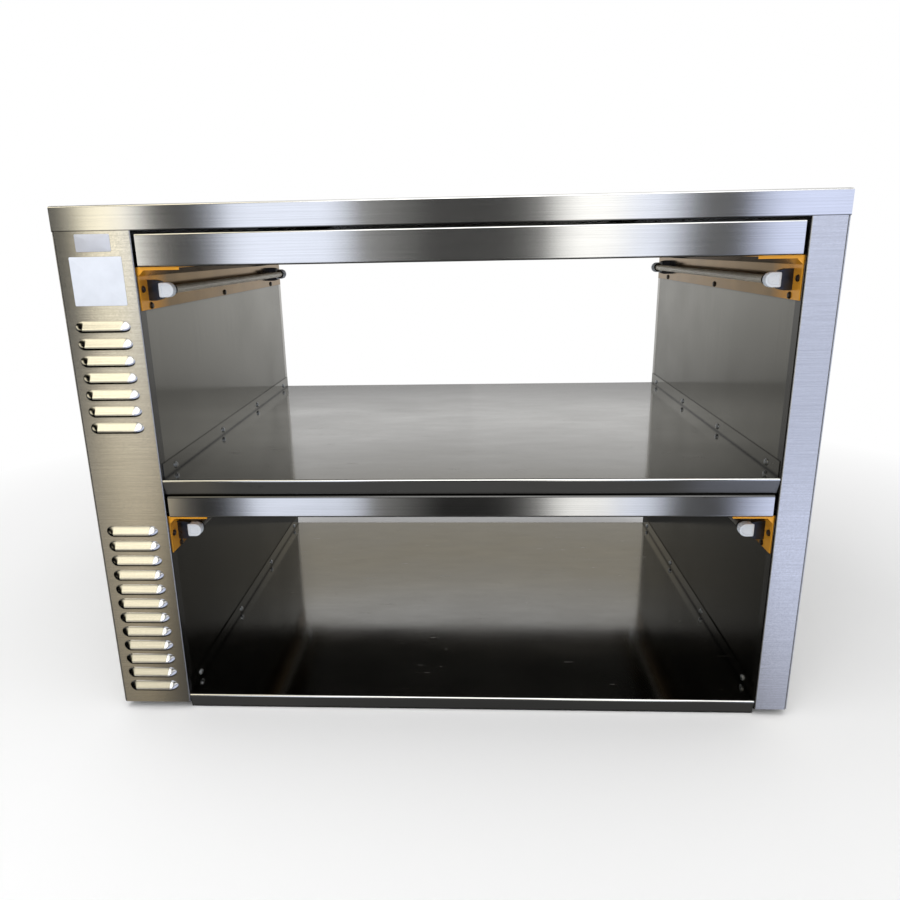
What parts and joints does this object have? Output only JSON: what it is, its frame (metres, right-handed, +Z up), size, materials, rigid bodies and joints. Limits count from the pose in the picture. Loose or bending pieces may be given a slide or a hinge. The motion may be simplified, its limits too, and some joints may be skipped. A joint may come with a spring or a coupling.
{
  "type": "heated holding cabinet",
  "caption": "Open tiered pass-through holding cabinet in folded stainless sheet, with gilt reflectors and quartz heating tubes in the upper corners and a louvred service column.",
  "frame": {"origin": "centre of the cabinet's footprint on the surface that it stands on", "axes": "+X to the right as seen from the front, +Y to the rear, +Z up; the louvred face looks along -Y"},
  "size_m": [0.914, 0.677, 0.674],
  "materials": {
    "brushed_stainless": "brushed along the sheet, satin",
    "galvanised_steel": "dull zinc grey",
    "gilt_reflector": "bright gold-toned reflector sheet",
    "milky_quartz": "translucent milky quartz",
    "resistance_wire": "dark oxidised heating wire",
    "white_ceramic": "unglazed white",
    "spring_steel": "blued spring strip",
    "bright_fastener": "bright zinc plate",
    "black_switch_plastic": "black moulded plastic",
    "black_nylon": "black moulded nylon",
    "phenolic": "dark moulded resin",
    "brass": "plain brass blades"
  },
  "bodies": {
    "cabinet": {"component_plate": "galvanised_steel", "cord_gland": "black_nylon", "left_base_tray": "galvanised_steel", "left_front_panel": "brushed_stainless", "left_inner_wall": "brushed_stainless", "left_rear_panel": "brushed_stainless", "left_side_panel": "brushed_stainless", "lower_ceiling": "brushed_stainless", "lower_cross_wireway": "galvanised_steel", "lower_front_header": "brushed_stainless", "lower_left_heating_coil": "resistance_wire", "lower_left_lamp_caps": "white_ceramic", "lower_left_lamp_clips": "spring_steel", "lower_left_quartz_tube": "milky_quartz", "lower_left_reflector": "gilt_reflector", "lower_rear_header": "brushed_stainless", "lower_right_heating_coil": "resistance_wire", "lower_right_lamp_caps": "white_ceramic", "lower_right_lamp_clips": "spring_steel", "lower_right_quartz_tube": "milky_quartz", "lower_right_reflector": "gilt_reflector", "lower_shelf": "brushed_stainless", "lower_shelf_stiffeners": "galvanised_steel", "lower_switch_housing": "black_switch_plastic", "reflector_screws": "bright_fastener", "right_base_tray": "galvanised_steel", "right_front_panel": "brushed_stainless", "right_inner_wall": "brushed_stainless", "right_rear_panel": "brushed_stainless", "right_side_panel": "brushed_stainless", "shelf_screws": "bright_fastener", "switch_terminals": "brass", "terminal_block": "phenolic", "top_cover": "brushed_stainless", "upper_ceiling": "brushed_stainless", "upper_cross_wireway": "galvanised_steel", "upper_front_header": "brushed_stainless", "upper_left_heating_coil": "resistance_wire", "upper_left_lamp_caps": "white_ceramic", "upper_left_lamp_clips": "spring_steel", "upper_left_quartz_tube": "milky_quartz", "upper_left_reflector": "gilt_reflector", "upper_rear_header": "brushed_stainless", "upper_right_heating_coil": "resistance_wire", "upper_right_lamp_caps": "white_ceramic", "upper_right_lamp_clips": "spring_steel", "upper_right_quartz_tube": "milky_quartz", "upper_right_reflector": "gilt_reflector", "upper_shelf": "brushed_stainless", "upper_shelf_stiffeners": "galvanised_steel", "upper_switch_housing": "black_switch_plastic", "wire_trunk": "galvanised_steel"},
    "upper_rocker": {"upper_switch_rocker": "black_switch_plastic"},
    "lower_rocker": {"lower_switch_rocker": "black_switch_plastic"}
  },
  "joints": [
    {"name": "upper_rocker_hinge", "type": "hinge", "parent": "cabinet", "child": "upper_rocker", "pos_m": [-0.40915, 0.326, 0.585], "axis": [1, 0, 0], "range_deg": [0, 20]},
    {"name": "lower_rocker_hinge", "type": "hinge", "parent": "cabinet", "child": "lower_rocker", "pos_m": [-0.40915, 0.326, 0.515], "axis": [1, 0, 0], "range_deg": [0, 20]}
  ]
}
